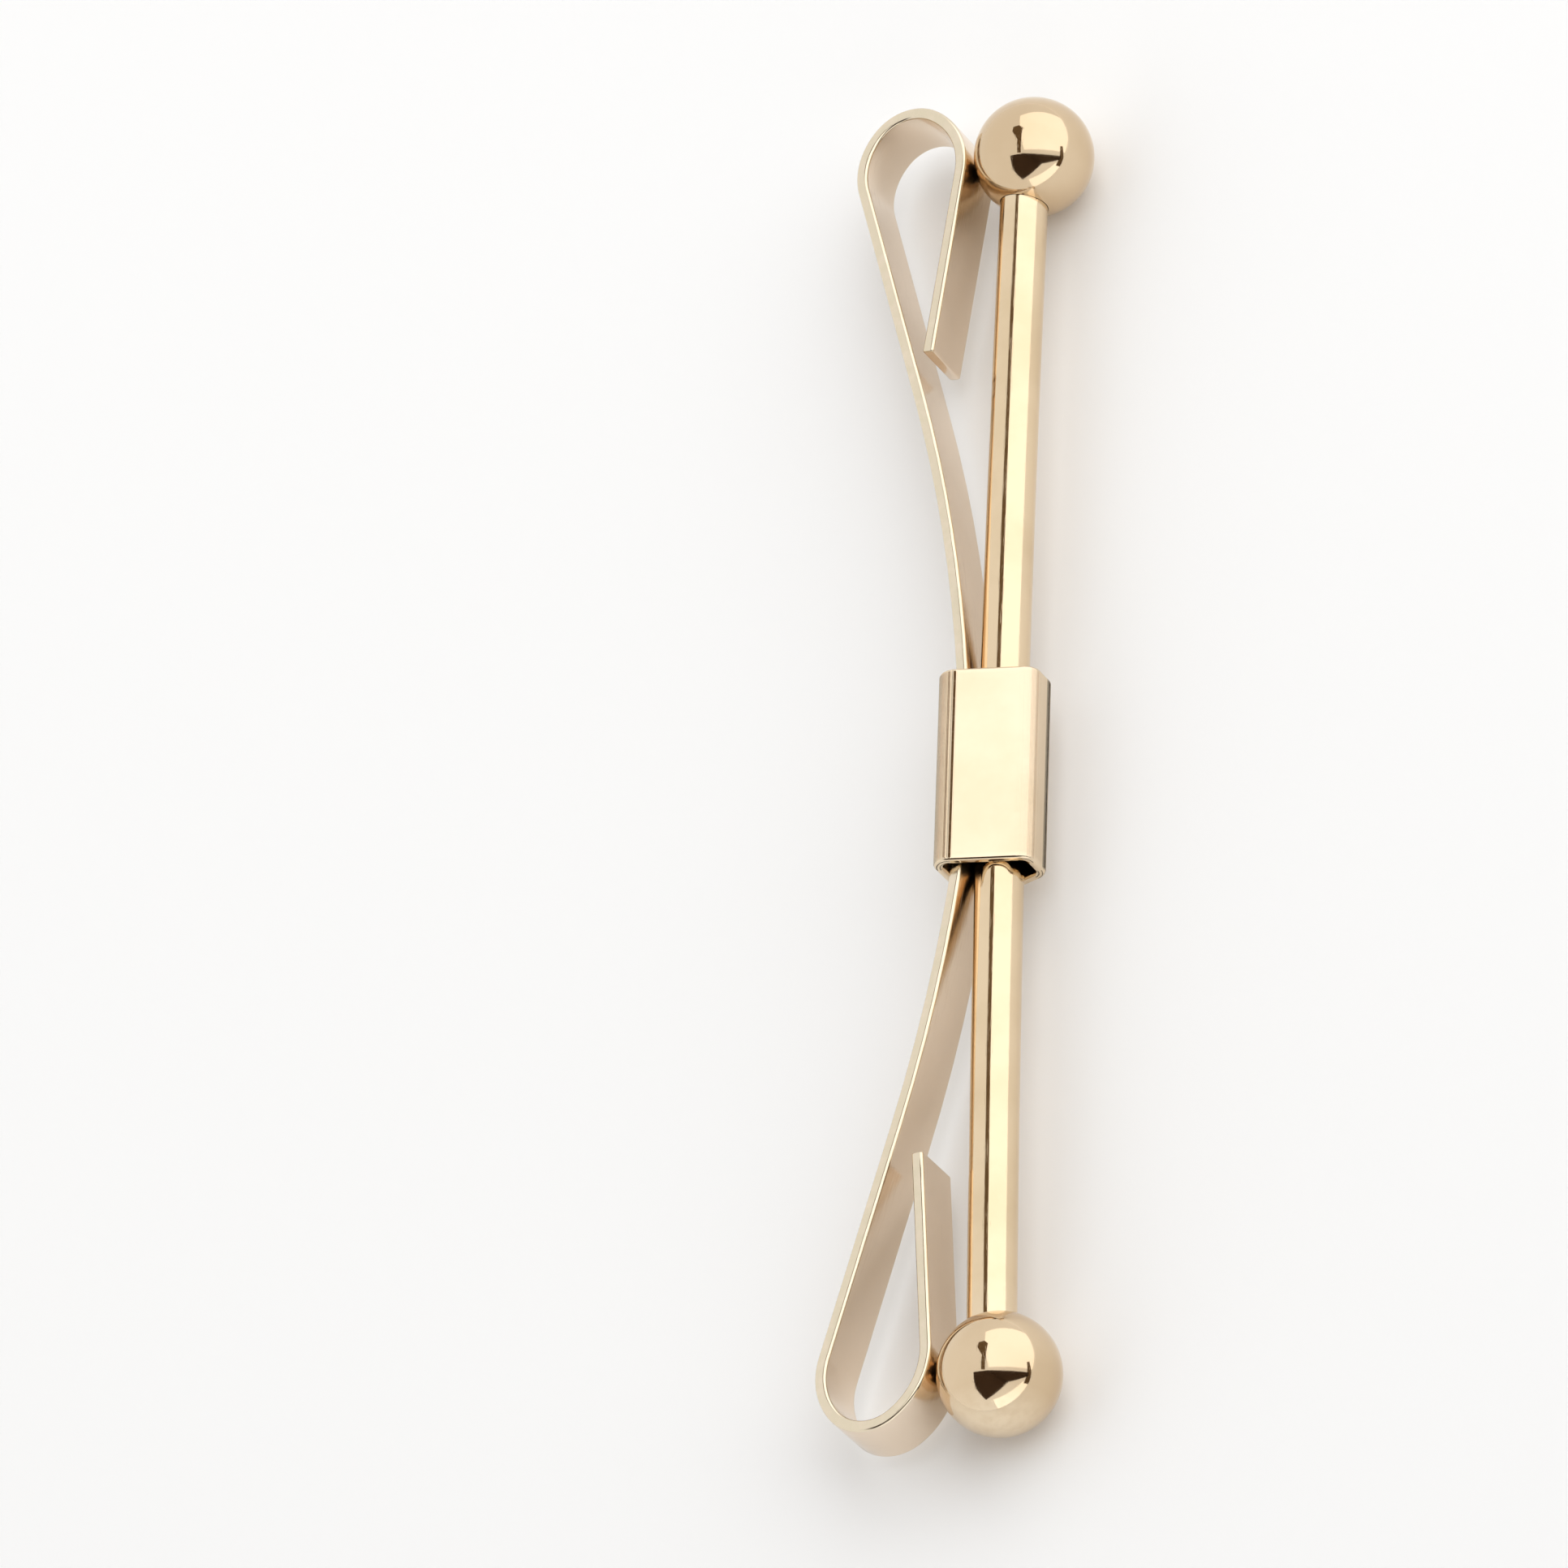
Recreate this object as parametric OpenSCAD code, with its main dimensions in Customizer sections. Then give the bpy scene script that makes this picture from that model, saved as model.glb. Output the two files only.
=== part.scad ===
// Collar bar: a round bar with a ball on each end, and a flat spring strip held to its back
// by a folded sleeve. The strip's two arms curl back on themselves and rest on the balls, and a
// collar point slips in between. +X runs along the bar to the wearer's left, -Y faces the
// front, and the strip's width stands along Z. The origin is the middle of the bar.

/* [Bar] */
// Diameter of the round bar
bar_d = 2.0; // [1.6:0.1:2.4]
// How far the bar's middle bows back from its ends
bar_bow = 0.3; // [0.1:0.05:0.5]

/* [Balls] */
// Distance between the centres of the two balls
ball_span = 55.8; // [50:0.2:62]
// Diameter of each ball
ball_d = 5.0; // [4.4:0.1:6]
// How far each ball's bore lies behind the ball's centre
bore_offset = 0.35; // [0:0.05:0.5]
// Depth of the blind bore, measured from the ball's surface
bore_depth = 3.6; // [2.4:0.1:4]

/* [Spring strip] */
// Width of the strip
strip_w = 2.6; // [2.2:0.1:3.2]
// Thickness of the strip
strip_t = 0.5; // [0.4:0.05:0.8]
// Radius of the slow bend where an arm leaves the sleeve
bend_r = 72; // [50:1:100]
// Angle of that slow bend on the right arm
bend_angle_right = 11; // [8:0.5:13]
// Angle of that slow bend on the left arm
bend_angle_left = 9; // [7:0.5:12]
// How far the strip lifts off the bar by the sleeve's mouth
mouth_lift = 0.05; // [0.04:0.01:0.1]

/* [Loops] */
// Radius of the loop's crest, where the arm starts to turn back
crest_r = 2.8; // [2:0.1:3.4]
// Angle of the crest
crest_angle = 58.5; // [50:0.5:66]
// Radius of the loop's outer end
tip_r = 1.9; // [1.5:0.1:2.4]
// Angle of the outer end
tip_angle = 81; // [74:0.5:88]
// Radius of the heel that rests on the ball
heel_r = 3.1; // [2.4:0.1:3.6]
// Angle of the right loop's heel
heel_angle_right = 64; // [58:0.5:66]
// Angle of the left loop's heel
heel_angle_left = 61; // [56:0.5:65]
// Straight length from the heel to the strip's end
tail_len = 8.5; // [6:0.1:9]
// How far the right loop's heel sits in from its ball's centre
heel_inset_right = 0.2; // [0:0.1:1.2]
// How far the left loop's heel sits in from its ball's centre
heel_inset_left = 1.1; // [0:0.1:1.4]

/* [Sleeve] */
// Length of the sleeve along the bar
sleeve_len = 8.8; // [7:0.1:11]
// Place of the sleeve's middle along the bar
sleeve_x = -1.2; // [-2:0.1:2]
// Thickness of the sleeve's sheet
sleeve_wall = 0.4; // [0.3:0.05:0.6]
// Inside radius of the sleeve's folds
fold_r = 0.3; // [0.2:0.05:0.4]
// Half the height of the flat on the sleeve's front, between its folds
front_half = 0.37; // [0.2:0.01:0.5]
// Free space inside the sleeve in front of the bar
front_space = 0.4; // [0.2:0.05:0.5]
// Width of the butt seam down the back of the sleeve
seam_w = 0.12; // [0.05:0.01:0.3]

/* [Clearances] */
// Between the bar and its bores, and between the sleeve's slanted walls and what they hold
fit_gap = 0.02; // [0.01:0.01:0.05]
// Between the bar and the strip at the middle
seat_gap = 0.03; // [0.02:0.01:0.08]
// Between the strip and the sleeve round it
strip_play = 0.25; // [0.1:0.01:0.35]
// Between a loop's heel and its ball when the clip is closed
grip_gap = 0.03; // [0.02:0.01:0.1]
// Between the sleeve's mouth and the root of an arm
root_gap = 0.1; // [0.05:0.05:0.3]

/* [Hidden] */
$fa = 0.5;
$fs = 0.12;
facet_angle = 3;
bar_r = bar_d / 2;
ball_r = ball_d / 2;
ball_x = ball_span / 2;

// The bar is an arc through the middles of both bores
bow_r = (ball_x * ball_x + bar_bow * bar_bow) / (2 * bar_bow);
function bar_y(x) = sqrt(bow_r * bow_r - x * x) - bow_r;
function bar_slope(x) = -asin(x / bow_r);
ball_y = bar_y(ball_x) - bore_offset;
bar_end_x = ball_x - ball_r + bore_depth - fit_gap;

// The strip lies along the back of the bar and lifts a little towards each mouth
web_y = bar_r + seat_gap + strip_t / 2;
root_y = web_y + mouth_lift;
sleeve_right_x = sleeve_x + sleeve_len / 2;
sleeve_left_x = sleeve_x - sleeve_len / 2;
root_right_x = sleeve_right_x + root_gap;
root_left_x = root_gap - sleeve_left_x;

// A pose is [x, y, heading]. A step is [length] when straight and [radius, angle] when
// turned, with a positive angle turning left.
function after(pose, step) =
    len(step) == 1
    ? [pose.x + step[0] * cos(pose.z), pose.y + step[0] * sin(pose.z), pose.z]
    : let (side = sign(step[1]), heading = pose.z + step[1])
      [
          pose.x + side * step[0] * (sin(heading) - sin(pose.z)),
          pose.y - side * step[0] * (cos(heading) - cos(pose.z)),
          heading
      ];
function arm_steps(run, bend, heel) = [
    [bend_r, bend],
    [run],
    [crest_r, -crest_angle],
    [tip_r, -tip_angle],
    [heel_r, -heel],
    [tail_len]
];
function follow(steps, count, pose = [0, 0, 0], done = 0) =
    done == count ? pose : follow(steps, count, after(pose, steps[done]), done + 1);
function step_poses(pose, step) =
    len(step) == 1
    ? [after(pose, step)]
    : let (count = ceil(abs(step[1]) / facet_angle))
      [for (i = [1:count]) after(pose, [step[0], step[1] * i / count])];
function path_poses(steps, pose, done = 0) =
    done == len(steps)
    ? []
    : concat(step_poses(pose, steps[done]), path_poses(steps, after(pose, steps[done]), done + 1));
function beside(pose, distance) =
    [pose.x - distance * sin(pose.z), pose.y + distance * cos(pose.z)];
function heel_centre(run, bend) =
    let (pose = follow(arm_steps(run, bend, 0), 4))
    [pose.x + heel_r * sin(pose.z), pose.y - heel_r * cos(pose.z)];

// Each arm's straight run and its tilt at the root put the heel's centre over the ball
function heel_reach(root_x, inset) =
    let (stand = heel_r + strip_t / 2 + grip_gap + ball_r)
    [ball_x - inset - root_x, ball_y + sqrt(stand * stand - inset * inset) - root_y];
function arm_run(reach, bend) =
    let (
        base = heel_centre(0, bend),
        along = base * [cos(bend), sin(bend)]
    )
    sqrt(along * along - base * base + reach * reach) - along;
function arm_tilt(reach, run, bend) =
    let (heel = heel_centre(run, bend))
    atan2(reach.y, reach.x) - atan2(heel.y, heel.x);
reach_right = heel_reach(root_right_x, heel_inset_right);
reach_left = heel_reach(root_left_x, heel_inset_left);
run_right = arm_run(reach_right, bend_angle_right);
run_left = arm_run(reach_left, bend_angle_left);
tilt_right = arm_tilt(reach_right, run_right, bend_angle_right);
tilt_left = arm_tilt(reach_left, run_left, bend_angle_left);

// The flexing line of an arm is the strip's back face at its root
hinge_right = [root_right_x - strip_t / 2 * sin(tilt_right), root_y + strip_t / 2 * cos(tilt_right)];
hinge_left = [-root_left_x + strip_t / 2 * sin(tilt_left), root_y + strip_t / 2 * cos(tilt_left)];
echo(hinge_right = hinge_right, hinge_left = hinge_left, tilt_right = tilt_right, tilt_left = tilt_left);

// The inside of the sleeve, wrapped round the bar and the strip
nose_y = -(bar_r + front_space);
back_y = root_y + strip_t / 2 + strip_play;
side_z = strip_w / 2 + strip_play;

bar_color = [0.86, 0.72, 0.52];
ball_color = [0.78, 0.66, 0.52];
strip_color = [0.76, 0.67, 0.57];
sleeve_color = [0.92, 0.83, 0.66];

module strip(steps, pose) {
    poses = concat([pose], path_poses(steps, pose));
    linear_extrude(strip_w, center = true)
        polygon(concat(
            [for (p = poses) beside(p, strip_t / 2)],
            [for (i = [len(poses) - 1:-1:0]) beside(poses[i], -strip_t / 2)]
        ));
}

module ball_right() {
    color(ball_color)
        translate([ball_x, ball_y, 0])
            difference() {
                sphere(d = ball_d);
                translate([0, bore_offset, 0])
                    rotate([0, 0, bar_slope(ball_x)])
                        translate([bore_depth - ball_r, 0, 0])
                            rotate([0, -90, 0])
                                cylinder(r = bar_r + fit_gap, h = ball_d);
            }
}

module ball_left() {
    mirror([1, 0, 0])
        ball_right();
}

module bar_rod() {
    sweep = 2 * asin(bar_end_x / bow_r);
    color(bar_color)
        translate([0, -bow_r, 0])
            rotate([0, 0, 90 - sweep / 2])
                rotate_extrude(angle = sweep)
                    translate([bow_r, 0])
                        circle(d = bar_d);
}

module sleeve_inside() {
    hull() {
        circle(r = bar_r + fit_gap);
        for (side = [-1, 1]) {
            translate([nose_y + fold_r, side * front_half])
                circle(r = fold_r);
            translate([web_y - strip_t / 2, side * strip_w / 2])
                circle(r = fit_gap);
            translate([back_y - fold_r, side * (side_z - fold_r)])
                circle(r = fold_r);
        }
    }
}

module sleeve() {
    color(sleeve_color)
        translate([sleeve_left_x, 0, 0])
            rotate([90, 0, 90])
                linear_extrude(sleeve_len)
                    difference() {
                        offset(r = sleeve_wall)
                            sleeve_inside();
                        sleeve_inside();
                        translate([back_y - sleeve_wall, -seam_w / 2])
                            square([3 * sleeve_wall, seam_w]);
                    }
}

module web_half(root_x, tilt) {
    lift_r = mouth_lift / (1 - cos(tilt));
    strip([[root_x - lift_r * sin(tilt)], [lift_r, tilt]], [0, web_y, 0]);
}

module spring_web() {
    color(strip_color) {
        web_half(root_right_x, tilt_right);
        mirror([1, 0, 0])
            web_half(root_left_x, tilt_left);
    }
}

module spring_arm_right() {
    color(strip_color)
        strip(
            arm_steps(run_right, bend_angle_right, heel_angle_right),
            [root_right_x, root_y, tilt_right]
        );
}

module spring_arm_left() {
    color(strip_color)
        mirror([1, 0, 0])
            strip(
                arm_steps(run_left, bend_angle_left, heel_angle_left),
                [root_left_x, root_y, tilt_left]
            );
}

bar_rod();
ball_right();
ball_left();
sleeve();
spring_web();
spring_arm_right();
spring_arm_left();
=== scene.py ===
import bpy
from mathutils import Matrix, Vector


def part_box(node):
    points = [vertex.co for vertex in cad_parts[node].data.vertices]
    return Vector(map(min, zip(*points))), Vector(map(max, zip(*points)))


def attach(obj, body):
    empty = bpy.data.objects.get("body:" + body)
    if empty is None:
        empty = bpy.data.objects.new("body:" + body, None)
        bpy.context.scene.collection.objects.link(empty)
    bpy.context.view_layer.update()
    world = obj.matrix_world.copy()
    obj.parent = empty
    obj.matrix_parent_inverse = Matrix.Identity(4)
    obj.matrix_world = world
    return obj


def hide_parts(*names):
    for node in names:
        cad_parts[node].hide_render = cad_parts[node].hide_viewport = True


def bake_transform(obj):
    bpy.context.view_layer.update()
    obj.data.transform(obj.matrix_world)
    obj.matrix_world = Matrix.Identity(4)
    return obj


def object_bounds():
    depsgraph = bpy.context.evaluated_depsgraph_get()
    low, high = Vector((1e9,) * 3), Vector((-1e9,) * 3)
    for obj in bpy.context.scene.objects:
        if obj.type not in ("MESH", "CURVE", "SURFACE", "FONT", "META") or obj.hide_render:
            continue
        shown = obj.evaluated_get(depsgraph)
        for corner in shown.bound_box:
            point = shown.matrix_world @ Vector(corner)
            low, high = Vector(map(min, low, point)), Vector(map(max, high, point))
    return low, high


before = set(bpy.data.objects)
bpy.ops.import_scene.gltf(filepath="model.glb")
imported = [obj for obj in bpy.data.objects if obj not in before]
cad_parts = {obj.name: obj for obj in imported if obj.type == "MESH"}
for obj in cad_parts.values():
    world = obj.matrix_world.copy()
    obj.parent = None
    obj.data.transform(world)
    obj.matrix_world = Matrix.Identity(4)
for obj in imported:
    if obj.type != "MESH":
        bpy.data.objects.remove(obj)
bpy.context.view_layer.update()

import math
import bpy
from mathutils import Matrix, Vector

mm = 0.001
weldDistance = 1e-8
hairsBreadth = 1e-7        # a difference below this, in metres or radians, is none
print("collar bar: the frame is loaded")


# The photograph's camera. It looks towards its azimuth, which turns from +Y towards +X, and
# down by its elevation. Roll turns the picture.
cameraView = {
    "focus": Vector((0.699, 9.926, 0)) * mm,
    "distance": 486.865 * mm,
    "azimuth": math.radians(49.0053),
    "elevation": math.radians(50.6937),
    "roll": math.radians(-46.0825),
    "lens": 275.316,
    "sensor": 36,
    "nearest": 0.01,
    "farthest": 20,
}

cameraTurn = (
    Matrix.Rotation(-cameraView["azimuth"], 4, "Z")
    @ Matrix.Rotation(math.pi / 2 - cameraView["elevation"], 4, "X")
    @ Matrix.Rotation(cameraView["roll"], 4, "Z")
)


def addCamera():
    data = bpy.data.cameras.new("photoCamera")
    data.lens = cameraView["lens"]
    data.sensor_width = cameraView["sensor"]
    data.clip_start = cameraView["nearest"]
    data.clip_end = cameraView["farthest"]
    camera = bpy.data.objects.new("photoCamera", data)
    bpy.context.scene.collection.objects.link(camera)
    back = cameraTurn @ Vector((0, 0, 1))
    spot = cameraView["focus"] + back * cameraView["distance"]
    camera.matrix_world = Matrix.Translation(spot) @ cameraTurn
    bpy.context.scene.camera = camera


addCamera()
bpy.context.scene.view_settings.view_transform = "Standard"
print("camera: in place")


def deselectAll():
    bpy.ops.object.select_all(action="DESELECT")


def pickEdges(piece, chosen):
    for item in [*piece.data.vertices, *piece.data.edges, *piece.data.polygons]:
        item.select = False
    points = piece.data.vertices
    for edge in piece.data.edges:
        edge.select = chosen(*[points[i].co for i in edge.vertices])


def editMode(pick="VERT"):
    bpy.ops.object.mode_set(mode="EDIT")
    bpy.ops.mesh.select_mode(type=pick)


def objectMode():
    bpy.ops.object.mode_set(mode="OBJECT")


def settle():
    # the place, turn and size of the piece go into its mesh
    bpy.ops.object.transform_apply(location=True, rotation=True, scale=True)


def weldAndTurnOut():
    editMode()
    bpy.ops.mesh.select_all(action="SELECT")
    bpy.ops.mesh.remove_doubles(threshold=weldDistance)
    bpy.ops.mesh.normals_make_consistent(inside=False)
    bpy.ops.mesh.select_all(action="DESELECT")
    objectMode()


def smoothOver(piece, sharpAngle):
    deselectAll()
    piece.select_set(True)
    bpy.context.view_layer.objects.active = piece
    bpy.ops.object.shade_smooth_by_angle(angle=sharpAngle)


def flattenShading(piece):
    # wide flats keep their own normals beside small rounded edges
    weights = piece.modifiers.new("flats", "WEIGHTED_NORMAL")
    weights.keep_sharp = True
    weights.weight = 100
    deselectAll()
    piece.select_set(True)
    bpy.context.view_layer.objects.active = piece
    bpy.ops.object.modifier_apply(modifier=weights.name)


# Metal finishes. Colours are linear, pattern scales count per metre, and an edge band is
# where |place - middle| along one axis lies between its two values. On the rod, balls and
# sleeve the band is paler rubbed wear; on the spring it is painted shade, a darker tone on
# the strip's edge faces. The stops are the noise values between which a pattern goes from
# none to all.
rodGold = {
    "colour": (0.79, 0.625, 0.42),
    "shade": (0.73, 0.57, 0.37),
    "wornAndShaded": (0.83, 0.69, 0.50),
    "roughness": (0.055, 0.13),
    "cloudScale": 260,
    "cloudStops": (0.36, 0.58),
    "smearScale": 2.7 * 260,
    "smearStops": (0.35, 0.7),
    "patchScale": 9 * 260,
    "patchStops": (0.3, 0.6),
    "patchLeast": 0.55,
    "grainScale": (120, 6000, 6000),
    "grainDepth": 0.0000014,
    "hairScale": (900, 30000, 30000),
    "hairStops": (0.6, 0.75),
    "hairDepth": 0.0000008,
    "wearAndShadeAxis": "X",
    "wearAndShadeMiddle": 0,
    "wearAndShadeBand": (24.0 * mm, 28.0 * mm),
}

ballGold = dict(
    rodGold,
    colour=(0.72, 0.56, 0.375),
    shade=(0.665, 0.505, 0.325),
    roughness=(0.05, 0.10),
    grainScale=(4200, 4200, 1500),
    grainDepth=0.0000006,
    hairScale=(2500, 26000, 9000),
    hairDepth=0.0000004,
    wearAndShadeBand=(29.2 * mm, 30.4 * mm),
)

sleeveGold = dict(
    rodGold,
    colour=(0.77, 0.625, 0.45),
    shade=(0.72, 0.575, 0.40),
    grainScale=(5200, 900, 900),
    hairScale=(26000, 1200, 1200),
    wearAndShadeMiddle=-1.2 * mm,
    wearAndShadeBand=(4.1 * mm, 4.4 * mm),
)

springGold = dict(
    rodGold,
    colour=(0.87, 0.735, 0.59),
    shade=(0.82, 0.685, 0.54),
    # painted shade: a darker tone for the strip's edge faces, not wear
    wornAndShaded=(0.75, 0.655, 0.49),
    roughness=(0.12, 0.23),
    cloudScale=180,
    smearScale=2.7 * 180,
    patchScale=9 * 180,
    grainScale=(90, 90, 12000),
    grainDepth=0.0000026,
    hairScale=(500, 500, 40000),
    hairDepth=0.0000016,
    # where the painted shade lies: the strip's edge faces, out towards |z| = half its width
    wearAndShadeAxis="Z",
    wearAndShadeBand=(1.16 * mm, 1.24 * mm),
)


def goldMaterial(name, look):
    material = bpy.data.materials.new(name)
    material.use_nodes = True
    nodes = material.node_tree.nodes
    links = material.node_tree.links
    shader = nodes["Principled BSDF"]
    shader.inputs["Metallic"].default_value = 1

    def node(kind, **values):
        made = nodes.new(kind)
        for key, value in values.items():
            setattr(made, key, value)
        return made

    place = node("ShaderNodeTexCoord").outputs["Object"]

    def noise(scale, detail, stretch=None):
        made = node("ShaderNodeTexNoise")
        made.inputs["Scale"].default_value = scale
        made.inputs["Detail"].default_value = detail
        spot = place
        if stretch:
            mapping = node("ShaderNodeMapping")
            mapping.inputs["Scale"].default_value = stretch
            links.new(place, mapping.inputs["Vector"])
            spot = mapping.outputs["Vector"]
        links.new(spot, made.inputs["Vector"])
        return made.outputs["Fac"]

    def spread(source, taken, given):
        made = node("ShaderNodeMapRange")
        made.inputs["From Min"].default_value, made.inputs["From Max"].default_value = taken
        made.inputs["To Min"].default_value, made.inputs["To Max"].default_value = given
        links.new(source, made.inputs["Value"])
        return made.outputs["Result"]

    clouds = node("ShaderNodeValToRGB")
    links.new(noise(look["cloudScale"], detail=5), clouds.inputs["Fac"])
    for stop, position, tint in zip(
        clouds.color_ramp.elements, look["cloudStops"], (look["shade"], look["colour"])
    ):
        stop.position = position
        stop.color = (*tint, 1)
    tone = clouds.outputs["Color"]

    # edge band: paler rubbed wear on the rod, balls and sleeve, painted shade (a darker tone) on the
    # spring's edge faces
    split = node("ShaderNodeSeparateXYZ")
    links.new(place, split.inputs["Vector"])
    shifted = node("ShaderNodeMath", operation="SUBTRACT")
    shifted.inputs[1].default_value = look["wearAndShadeMiddle"]
    links.new(split.outputs[look["wearAndShadeAxis"]], shifted.inputs[0])
    away = node("ShaderNodeMath", operation="ABSOLUTE")
    links.new(shifted.outputs["Value"], away.inputs[0])
    wearAndShadeMask = spread(away.outputs["Value"], look["wearAndShadeBand"], (0, 1))
    patchyWearAndShade = node("ShaderNodeMath", operation="MULTIPLY")
    links.new(wearAndShadeMask, patchyWearAndShade.inputs[0])
    patches = noise(look["patchScale"], detail=3)
    links.new(spread(patches, look["patchStops"], (look["patchLeast"], 1)), patchyWearAndShade.inputs[1])
    wearAndShadeMix = node("ShaderNodeMix", data_type="RGBA")
    wearAndShadeMix.inputs["B"].default_value = (*look["wornAndShaded"], 1)
    links.new(patchyWearAndShade.outputs["Value"], wearAndShadeMix.inputs["Factor"])
    links.new(tone, wearAndShadeMix.inputs["A"])
    links.new(wearAndShadeMix.outputs["Result"], shader.inputs["Base Color"])

    # soft smears of polish, a lengthwise grain and fine hairlines over it
    smears = noise(look["smearScale"], detail=4)
    links.new(spread(smears, look["smearStops"], look["roughness"]), shader.inputs["Roughness"])
    grain = node("ShaderNodeBump")
    grain.inputs["Distance"].default_value = look["grainDepth"]
    links.new(noise(1, detail=3, stretch=look["grainScale"]), grain.inputs["Height"])
    hairs = node("ShaderNodeBump", invert=True)
    hairs.inputs["Distance"].default_value = look["hairDepth"]
    lines = noise(1, detail=2, stretch=look["hairScale"])
    links.new(spread(lines, look["hairStops"], (0, 1)), hairs.inputs["Height"])
    links.new(grain.outputs["Normal"], hairs.inputs["Normal"])
    links.new(hairs.outputs["Normal"], shader.inputs["Normal"])
    return material


goldRod = goldMaterial("polishedGoldRod", rodGold)
goldBall = goldMaterial("polishedGoldBall", ballGold)
goldSleeve = goldMaterial("polishedGoldSleeve", sleeveGold)
goldSpring = goldMaterial("satinGoldSpring", springGold)
print("materials: four gold finishes")


def finishPiece(piece, material, nodes):
    piece.data.materials.clear()
    piece.data.materials.append(material)
    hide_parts(*nodes)


def boxOf(nodeName):
    low, high = [Vector(corner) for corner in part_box(nodeName)]
    return low, high


# The round bar
rod = {
    "sides": 96,
    "rings": 60,
    "endRound": 0.08 * mm,
    "endSteps": 2,
    "sharpAngle": math.radians(35),
}
rodLow, rodHigh = boxOf("bar_rod")
rodRadius = rodHigh.z
rodHalf = rodHigh.x
rodSag = -rodLow.y - rodRadius
bowRadius = (rodHalf ** 2 + rodSag ** 2) / (2 * rodSag)


def rodMiddle(x):
    return math.sqrt(bowRadius ** 2 - x ** 2) - bowRadius


def makeRod():
    deselectAll()
    sweep = math.asin(rodHalf / (bowRadius + rodRadius))
    bpy.ops.mesh.primitive_circle_add(
        vertices=rod["sides"], radius=rodRadius, fill_type="NGON",
        location=(0, 0, 0), rotation=(0, math.pi / 2, 0),
    )
    piece = bpy.context.object
    piece.name = piece.data.name = "barRod"
    settle()
    editMode()
    bpy.ops.mesh.select_all(action="SELECT")
    middle = (0, -bowRadius, 0)
    bpy.ops.transform.rotate(value=-sweep, orient_axis="Z", center_override=middle)
    bpy.ops.mesh.spin(steps=rod["rings"], angle=2 * sweep, center=middle, axis=(0, 0, 1))
    objectMode()
    weldAndTurnOut()
    nearEnd = rodHalf - 2 * rodRadius * math.sin(sweep) - hairsBreadth
    pickEdges(piece, lambda a, b: min(abs(a.x), abs(b.x)) > nearEnd)
    editMode("EDGE")
    bpy.ops.mesh.bevel(offset=rod["endRound"], segments=rod["endSteps"], affect="EDGES")
    objectMode()
    smoothOver(piece, rod["sharpAngle"])
    finishPiece(piece, goldRod, ["bar_rod"])
    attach(piece, "bar")
    return piece


makeRod()
print("round bar: done")


# The balls. Each is bored from the middle's side to take the bar's end.
ball = {
    "span": 55.8 * mm,
    "segments": 192,
    "rings": 128,
    "boreSides": 96,
    "boreDepth": 3.6 * mm,
    "boreGap": 0.02 * mm,
    "turn": math.radians(7),        # keeps the mesh's lines off the bore's rim
    "sharpAngle": math.radians(35),
}


def ballPlace(nodeName):
    # the bore cuts the node's box short in X, so there the centre comes from the span
    low, high = boxOf(nodeName)
    side = 1 if high.x > 0 else -1
    centre = Vector((side * ball["span"] / 2, (low.y + high.y) / 2, 0))
    return side, centre, high.z


def makeBall(name, nodeName):
    side, centre, radius = ballPlace(nodeName)
    deselectAll()
    bpy.ops.mesh.primitive_uv_sphere_add(
        segments=ball["segments"], ring_count=ball["rings"], radius=radius,
        location=centre, rotation=(0, 0, ball["turn"]),
    )
    piece = bpy.context.object
    piece.name = piece.data.name = name
    settle()
    slope = math.asin(centre.x / bowRadius)
    toEnd = Vector((side * math.cos(slope), -abs(math.sin(slope)), 0))
    drillLength = 2 * radius
    floorOfBore = Vector((centre.x, rodMiddle(centre.x), 0)) + toEnd * (ball["boreDepth"] - radius)
    deselectAll()
    bpy.ops.mesh.primitive_cylinder_add(
        vertices=ball["boreSides"], radius=rodRadius + ball["boreGap"], depth=drillLength,
        location=floorOfBore - toEnd * drillLength / 2,
        rotation=toEnd.to_track_quat("Z", "Y").to_euler(),
    )
    drill = bpy.context.object
    settle()
    cut = piece.modifiers.new("bore", "BOOLEAN")
    cut.operation = "DIFFERENCE"
    cut.solver = "EXACT"
    cut.object = drill
    deselectAll()
    piece.select_set(True)
    bpy.context.view_layer.objects.active = piece
    bpy.ops.object.modifier_apply(modifier=cut.name)
    bpy.data.objects.remove(drill)
    smoothOver(piece, ball["sharpAngle"])
    finishPiece(piece, goldBall, [nodeName])
    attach(piece, "bar")
    return piece


makeBall("ballRight", "ball_right")
makeBall("ballLeft", "ball_left")
print("balls: done")


# The folded sleeve round the bar and the strip
sleeve = {
    "wall": 0.4 * mm,
    "foldRadius": 0.3 * mm,
    "frontHalf": 0.37 * mm,
    "seam": 0.12 * mm,
    "rimRound": 0.16 * mm,
    "rimSteps": 4,
    "foldStep": math.radians(4),
    "sharpAngle": math.radians(40),
}

# The spring strip
strip = {
    "width": 2.6 * mm,
    "thickness": 0.5 * mm,
    "edgeRound": 0.13 * mm,
    "edgeSteps": 5,
    "endRound": 0.07 * mm,
    "endSteps": 3,
    "seatGap": 0.03 * mm,
    "mouthLift": 0.05 * mm,
    "rootGap": 0.1 * mm,
    "bendRadius": 72 * mm,
    "crestRadius": 2.8 * mm,
    "crestAngle": 58.5,
    "tipRadius": 1.9 * mm,
    "tipAngle": 81,
    "heelRadius": 3.1 * mm,
    "tailLength": 8.5 * mm,
    "gripGap": 0.03 * mm,
    "arcStep": 1.5,
    "straightStep": 0.8 * mm,
    "longestStep": 2 * mm,
    "flexLength": 7 * mm,
    "sharpAngle": math.radians(50),
}

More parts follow.
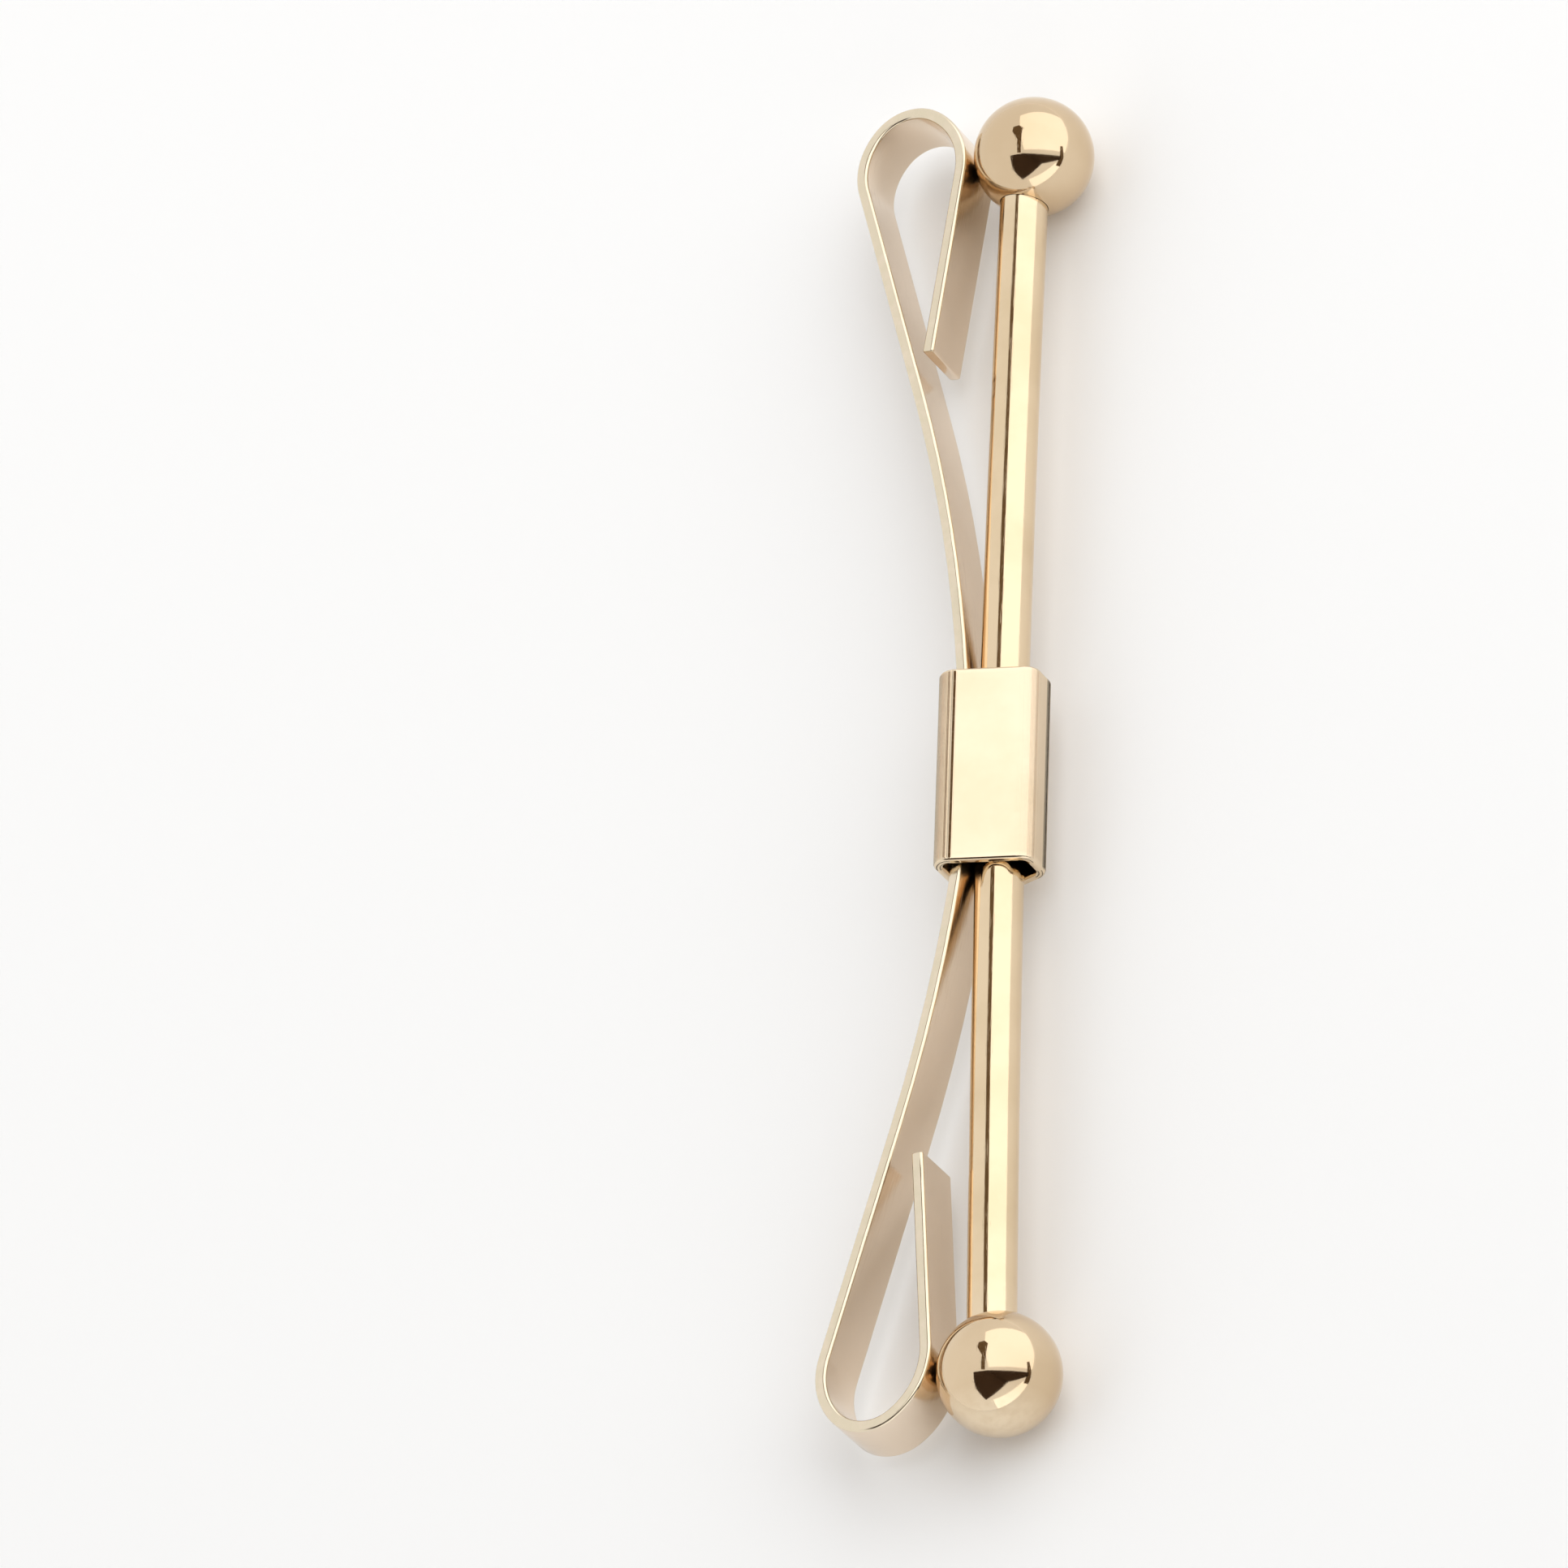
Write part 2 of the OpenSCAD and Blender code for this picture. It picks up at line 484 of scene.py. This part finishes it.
armRight = {"bend": 11, "heel": 64, "inset": 0.2 * mm}
armLeft = {"bend": 9, "heel": 61, "inset": 1.1 * mm}

sleeveLow, sleeveHigh = boxOf("sleeve")
webY = rodRadius + strip["seatGap"] + strip["thickness"] / 2
rootY = webY + strip["mouthLift"]


def sinDeg(angle):
    return math.sin(math.radians(angle))


def cosDeg(angle):
    return math.cos(math.radians(angle))


# A pose is x, y and heading. A step is (length,) when straight and (radius, angle) when turned.
def after(pose, step):
    x, y, heading = pose
    if len(step) == 1:
        return (x + step[0] * cosDeg(heading), y + step[0] * sinDeg(heading), heading)
    side = math.copysign(1, step[1])
    turned = heading + step[1]
    return (
        x + side * step[0] * (sinDeg(turned) - sinDeg(heading)),
        y - side * step[0] * (cosDeg(turned) - cosDeg(heading)),
        turned,
    )


def armSteps(run, arm):
    return [
        (strip["bendRadius"], arm["bend"]),
        (run,),
        (strip["crestRadius"], -strip["crestAngle"]),
        (strip["tipRadius"], -strip["tipAngle"]),
        (strip["heelRadius"], -arm["heel"]),
        (strip["tailLength"],),
    ]


def heelCentre(run, arm):
    pose = (0, 0, 0)
    for step in armSteps(run, arm)[:4]:
        pose = after(pose, step)
    x, y, heading = pose
    return Vector((x + strip["heelRadius"] * sinDeg(heading), y - strip["heelRadius"] * cosDeg(heading)))


def armPath(rootX, startX, ballCentre, ballRadius, arm):
    # the straight run and the tilt at the root put the heel over the ball
    stand = strip["heelRadius"] + strip["thickness"] / 2 + strip["gripGap"] + ballRadius
    rise = math.sqrt(stand ** 2 - arm["inset"] ** 2)
    reach = Vector((abs(ballCentre.x) - arm["inset"] - rootX, ballCentre.y + rise - rootY))
    base = heelCentre(0, arm)
    along = base.dot(Vector((cosDeg(arm["bend"]), sinDeg(arm["bend"]))))
    run = math.sqrt(along ** 2 - base.length_squared + reach.length_squared) - along
    heel = heelCentre(run, arm)
    tilt = math.degrees(math.atan2(reach.y, reach.x) - math.atan2(heel.y, heel.x))
    lift = strip["mouthLift"] / (1 - cosDeg(tilt))
    inside = [(rootX - lift * sinDeg(tilt) - startX,), (lift, tilt)]
    return inside + armSteps(run, arm)


def sweepAlong(pose, step):
    # one straight or one turn of the strip, drawn out from the selected end
    if len(step) == 1:
        count = max(1, math.ceil(step[0] / strip["straightStep"]))
        move = (step[0] / count * cosDeg(pose[2]), step[0] / count * sinDeg(pose[2]), 0)
        for _ in range(count):
            bpy.ops.mesh.extrude_region_move(TRANSFORM_OT_translate={"value": move})
        return
    side = math.copysign(1, step[1])
    length = step[0] * math.radians(abs(step[1]))
    count = math.ceil(max(abs(step[1]) / strip["arcStep"], length / strip["longestStep"]))
    middle = (
        pose[0] - side * step[0] * sinDeg(pose[2]),
        pose[1] + side * step[0] * cosDeg(pose[2]),
        0,
    )
    # the operator turns clockwise about its axis
    bpy.ops.mesh.spin(steps=count, angle=math.radians(step[1]), center=middle, axis=(0, 0, -1))


def makeSpring(name, ballNode, armNode, arm):
    # drawn as the right half, from the middle of the sleeve out, then mirrored for the left
    side, ballCentre, ballRadius = ballPlace(ballNode)
    startX = side * (sleeveLow.x + sleeveHigh.x) / 2
    rootX = (sleeveHigh.x if side > 0 else -sleeveLow.x) + strip["rootGap"]
    steps = armPath(rootX, startX, ballCentre, ballRadius, arm)
    deselectAll()
    bpy.ops.mesh.primitive_plane_add(
        size=1, location=(startX, webY, 0), rotation=(0, math.pi / 2, 0)
    )
    piece = bpy.context.object
    piece.name = piece.data.name = name
    piece.scale = (strip["width"], strip["thickness"], 1)
    settle()
    editMode()
    bpy.ops.mesh.select_all(action="SELECT")
    bpy.ops.mesh.bevel(offset=strip["edgeRound"], segments=strip["edgeSteps"], affect="VERTICES")
    pose = (startX, webY, 0)
    for step in steps:
        sweepAlong(pose, step)
        pose = after(pose, step)
    if side < 0:
        bpy.ops.mesh.select_all(action="SELECT")
        bpy.ops.transform.resize(value=(-1, 1, 1), center_override=(0, 0, 0))
    objectMode()
    weldAndTurnOut()
    endHeading = math.radians(pose[2])
    endWay = Vector((side * math.cos(endHeading), math.sin(endHeading), 0))
    endSpot = Vector((side * pose[0], pose[1], 0))

    def onEndFace(point):
        reach = point - endSpot
        return abs(reach.dot(endWay)) < hairsBreadth and reach.length < strip["width"]

    pickEdges(piece, lambda a, b: onEndFace(a) and onEndFace(b))
    editMode("EDGE")
    bpy.ops.mesh.bevel(offset=strip["endRound"], segments=strip["endSteps"], affect="EDGES")
    objectMode()
    smoothOver(piece, strip["sharpAngle"])
    flattenShading(piece)
    finishPiece(piece, goldSpring, [armNode, "spring_web"])
    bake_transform(piece)
    return piece


makeSpring("springRight", "ball_right", "spring_arm_right", armRight)
makeSpring("springLeft", "ball_left", "spring_arm_left", armLeft)
print("spring strip: done")


def hullOutline(circles, grow):
    # the outline round a ring of circles given in order, as arcs joined by straight lines
    points = []
    count = len(circles)
    turns = []
    for i in range(count):
        (ay, az, ar), (by, bz, br) = circles[i], circles[(i + 1) % count]
        away = math.hypot(by - ay, bz - az)
        turns.append(math.atan2(bz - az, by - ay) - math.pi / 2 - math.asin((br - ar) / away))
    for i in range(count):
        y, z, r = circles[i]
        start, end = turns[i - 1], turns[i]
        while end < start - hairsBreadth:
            end += 2 * math.pi
        steps = max(1, math.ceil((end - start) / sleeve["foldStep"]))
        for k in range(steps + 1):
            angle = start + (end - start) * k / steps
            points.append((y + (r + grow) * math.cos(angle), z + (r + grow) * math.sin(angle)))
    return points


def sleeveCircles():
    fold = sleeve["foldRadius"]
    backY = sleeveHigh.y - sleeve["wall"] - fold
    noseY = sleeveLow.y + sleeve["wall"] + fold
    foldZ = sleeveHigh.z - sleeve["wall"] - fold
    return [
        (backY, foldZ, fold),
        (noseY, sleeve["frontHalf"], fold),
        (noseY, -sleeve["frontHalf"], fold),
        (backY, -foldZ, fold),
    ]


def openAtSeam(points, y):
    # the sheet starts and ends at the seam in the middle of the back
    half = sleeve["seam"] / 2
    return [(y, half)] + points + [(y, -half)]


def makeSleeve():
    circles = sleeveCircles()
    outer = openAtSeam(hullOutline(circles, sleeve["wall"]), sleeveHigh.y)
    inner = openAtSeam(hullOutline(circles, 0), sleeveHigh.y - sleeve["wall"])
    loop = outer + inner[::-1]
    deselectAll()
    bpy.ops.mesh.primitive_circle_add(vertices=len(loop), radius=mm, fill_type="NGON")
    piece = bpy.context.object
    piece.name = piece.data.name = "foldedSleeve"
    for point, (y, z) in zip(piece.data.vertices, loop):
        point.co = (sleeveLow.x, y, z)
    editMode()
    bpy.ops.mesh.select_all(action="SELECT")
    bpy.ops.mesh.extrude_region_move(
        TRANSFORM_OT_translate={"value": (sleeveHigh.x - sleeveLow.x, 0, 0)}
    )
    objectMode()
    weldAndTurnOut()
    pickEdges(piece, lambda a, b: abs(a.x - b.x) < hairsBreadth)
    editMode("EDGE")
    bpy.ops.mesh.bevel(offset=sleeve["rimRound"], segments=sleeve["rimSteps"], affect="EDGES")
    objectMode()
    smoothOver(piece, sleeve["sharpAngle"])
    flattenShading(piece)
    finishPiece(piece, goldSleeve, ["sleeve"])
    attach(piece, "bar")
    return piece


makeSleeve()
print("sleeve: done")


# Studio: a pale floor under the balls, two soft boxes, and the dark gap and the stands between
# them. Places are degrees sideways and up from the camera's axis, seen from the object.
studio = {
    "floorHalf": 3,
    "floorColour": (0.98, 0.98, 0.975, 1),
    "floorRoughness": 0.9,
    "surround": 1.0,
    "boxBrightness": 0.62,
    "boxDistance": 0.75,
    "flagDistance": 0.62,
    "gapTone": (0.055, 0.034, 0.022, 1),
    "standTone": (0.15, 0.10, 0.055, 1),
}

# A soft box swings, leans and turns from facing the object. Its size is a share of its distance.
softBoxes = {
    "upperSoftBox": {
        "sideways": 46.5, "up": 58.6,
        "swing": -27.2, "lean": 13.1, "turn": -33,
        "wide": 1.67, "high": 1.63,
    },
    "lowerSoftBox": {
        "sideways": 53.2, "up": -41,
        "swing": -30, "lean": 23.9, "turn": -27.5,
        "wide": 0.95, "high": 1.21,
    },
}

# Dark cards that only the metal sees, by the places of their corners
flags = {
    "darkGap": ("gapTone", [
        (-48, 3), (-23, 7), (54, 2), (53, -3), (14, -13), (-11, -33), (-31, -44), (-46, -22),
    ]),
    "leftStand": ("standTone", [
        (-27, 8), (-29, 32), (-35, 56), (-50, 59), (-63, 53), (-57, 45), (-38, 33), (-34, 8),
    ]),
    "rightStand": ("standTone", [
        (52, 19), (49, 0), (43, -15), (53, -16), (57.5, 0), (57.5, 19),
    ]),
}


def addFloor():
    deselectAll()
    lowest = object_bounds()[0][2]
    bpy.ops.mesh.primitive_plane_add(size=2 * studio["floorHalf"], location=(0, 0, lowest))
    floor = bpy.context.object
    floor.name = "paleFloor"
    settle()
    material = bpy.data.materials.new("palePaper")
    material.use_nodes = True
    shader = material.node_tree.nodes["Principled BSDF"]
    shader.inputs["Base Color"].default_value = studio["floorColour"]
    shader.inputs["Roughness"].default_value = studio["floorRoughness"]
    shader.inputs["Specular IOR Level"].default_value = 0
    floor.data.materials.append(material)


def studioSpot(sideways, up, distance):
    way = Vector((sinDeg(sideways) * cosDeg(up), sinDeg(up), cosDeg(sideways) * cosDeg(up)))
    return cameraTurn @ way * distance


def addSoftBox(name):
    place = softBoxes[name]
    distance = studio["boxDistance"]
    data = bpy.data.lights.new(name, "AREA")
    data.shape = "RECTANGLE"
    data.size = place["wide"] * distance
    data.size_y = place["high"] * distance
    data.energy = studio["boxBrightness"] * math.pi * data.size * data.size_y
    box = bpy.data.objects.new(name, data)
    bpy.context.scene.collection.objects.link(box)
    spot = studioSpot(place["sideways"], place["up"], distance)
    zAxis = spot.normalized()
    xAxis = (cameraTurn.to_3x3() @ Vector((0, 1, 0))).cross(zAxis).normalized()
    box.matrix_world = (
        Matrix.Translation(spot)
        @ Matrix((xAxis, zAxis.cross(xAxis), zAxis)).transposed().to_4x4()
        @ Matrix.Rotation(math.radians(place["swing"]), 4, "Y")
        @ Matrix.Rotation(math.radians(place["lean"]), 4, "X")
        @ Matrix.Rotation(math.radians(place["turn"]), 4, "Z")
    )
    box.visible_camera = False


def addFlag(name):
    tone, corners = flags[name]
    deselectAll()
    bpy.ops.mesh.primitive_circle_add(vertices=len(corners), radius=0.1, fill_type="NGON")
    flag = bpy.context.object
    flag.name = name
    for point, (sideways, up) in zip(flag.data.vertices, corners):
        point.co = studioSpot(sideways, up, studio["flagDistance"])
    material = bpy.data.materials.new(name)
    material.use_nodes = True
    shader = material.node_tree.nodes["Principled BSDF"]
    shader.inputs["Base Color"].default_value = studio[tone]
    shader.inputs["Roughness"].default_value = 1
    shader.inputs["Specular IOR Level"].default_value = 0
    flag.data.materials.append(material)
    flag.visible_camera = False


def addWorld():
    world = bpy.data.worlds.new("whiteRoom")
    world.use_nodes = True
    level = studio["surround"]
    world.node_tree.nodes["Background"].inputs["Color"].default_value = (level, level, level, 1)
    bpy.context.scene.world = world


addFloor()
addWorld()
for boxName in softBoxes:
    addSoftBox(boxName)
for flagName in flags:
    addFlag(flagName)
print("studio: floor, surround, soft boxes and stands")
